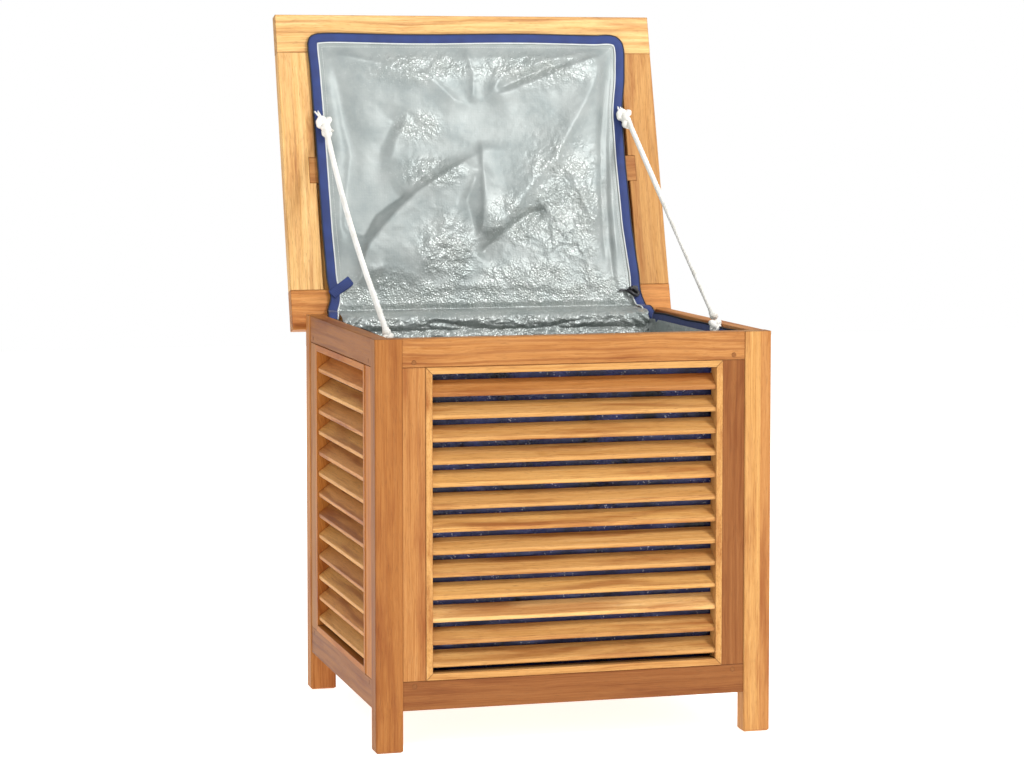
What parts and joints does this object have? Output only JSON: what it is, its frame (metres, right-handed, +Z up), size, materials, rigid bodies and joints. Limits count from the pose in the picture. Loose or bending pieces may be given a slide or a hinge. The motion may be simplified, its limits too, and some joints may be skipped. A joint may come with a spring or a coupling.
{
  "type": "laundry hamper with lid",
  "caption": "Louvred teak laundry box on four feet, with a fabric liner bag, a zipped flap and a hinged plank lid held open by two rope stays.",
  "frame": {"origin": "bottom centre of the whole object's bounding box with the lid open, on the floor the feet stand on", "axes": "+X to the right as seen from the front, +Y towards the back where the lid hinges, +Z up"},
  "size_m": [0.594, 0.6306, 1.0049],
  "materials": {
    "teak_post": "oiled teak",
    "teak_rail": "oiled teak",
    "teak_stile": "oiled teak",
    "teak_bead": "oiled teak",
    "teak_slat": "oiled teak",
    "teak_dark": "oiled teak",
    "teak_plank": "oiled teak",
    "hinge_steel": "satin stainless steel",
    "white_rope": "twisted synthetic rope",
    "silver_fabric": "woven film fabric, silver inside and navy outside",
    "navy_tape": "woven zip tape",
    "black_zip": "moulded plastic"
  },
  "bodies": {
    "box": {"post_front_left": "teak_post", "post_front_right": "teak_post", "post_back_left": "teak_post", "post_back_right": "teak_post", "front_top_rail": "teak_rail", "front_bottom_rail": "teak_rail", "front_stile_left": "teak_stile", "front_stile_right": "teak_stile", "front_bead": "teak_bead", "front_slats": "teak_slat", "back_top_rail": "teak_rail", "back_bottom_rail": "teak_rail", "back_stile_left": "teak_stile", "back_stile_right": "teak_stile", "back_bead": "teak_bead", "back_slats": "teak_slat", "left_top_rail": "teak_rail", "left_bottom_rail": "teak_rail", "left_stile_front": "teak_stile", "left_stile_back": "teak_stile", "left_bead": "teak_bead", "left_slats": "teak_slat", "right_top_rail": "teak_rail", "right_bottom_rail": "teak_rail", "right_stile_front": "teak_stile", "right_stile_back": "teak_stile", "right_bead": "teak_bead", "right_slats": "teak_slat", "joint_pegs": "teak_dark", "floor_bearers": "teak_dark", "floor_boards": "teak_plank", "hinge_leaf_box": "hinge_steel", "hinge_pins": "hinge_steel", "hinge_screws_box": "hinge_steel", "rope_left": "white_rope", "rope_right": "white_rope", "knot_box_left": "white_rope", "knot_box_right": "white_rope", "bag_shell": "silver_fabric", "bag_rim_tape": "navy_tape", "bag_back_strip": "silver_fabric"},
    "lid": {"lid_front_rail": "teak_rail", "lid_back_rail": "teak_rail", "lid_stile_left": "teak_stile", "lid_stile_right": "teak_stile", "lid_batten": "teak_plank", "lid_planks": "teak_plank", "hinge_leaf_lid": "hinge_steel", "hinge_screws_lid": "hinge_steel", "knot_lid_left": "white_rope", "knot_lid_right": "white_rope", "bag_flap": "silver_fabric", "flap_tape": "navy_tape"},
    "slider": {"zip_slider": "black_zip", "zip_pull": "black_zip"}
  },
  "joints": [
    {"name": "lid_hinge", "type": "hinge", "parent": "box", "child": "lid", "pos_m": [0, 0.1555, 0.546], "axis": [1, 0, 0], "range_deg": [0, 105.5], "deforming": ["rope_left", "rope_right", "knot_box_left", "knot_box_right", "bag_back_strip", "knot_lid_left", "knot_lid_right"]},
    {"name": "zip_slide", "type": "slide", "parent": "lid", "child": "slider", "axis": [0, 0.2672, 0.9636], "range_m": [0, 0.24]}
  ]
}
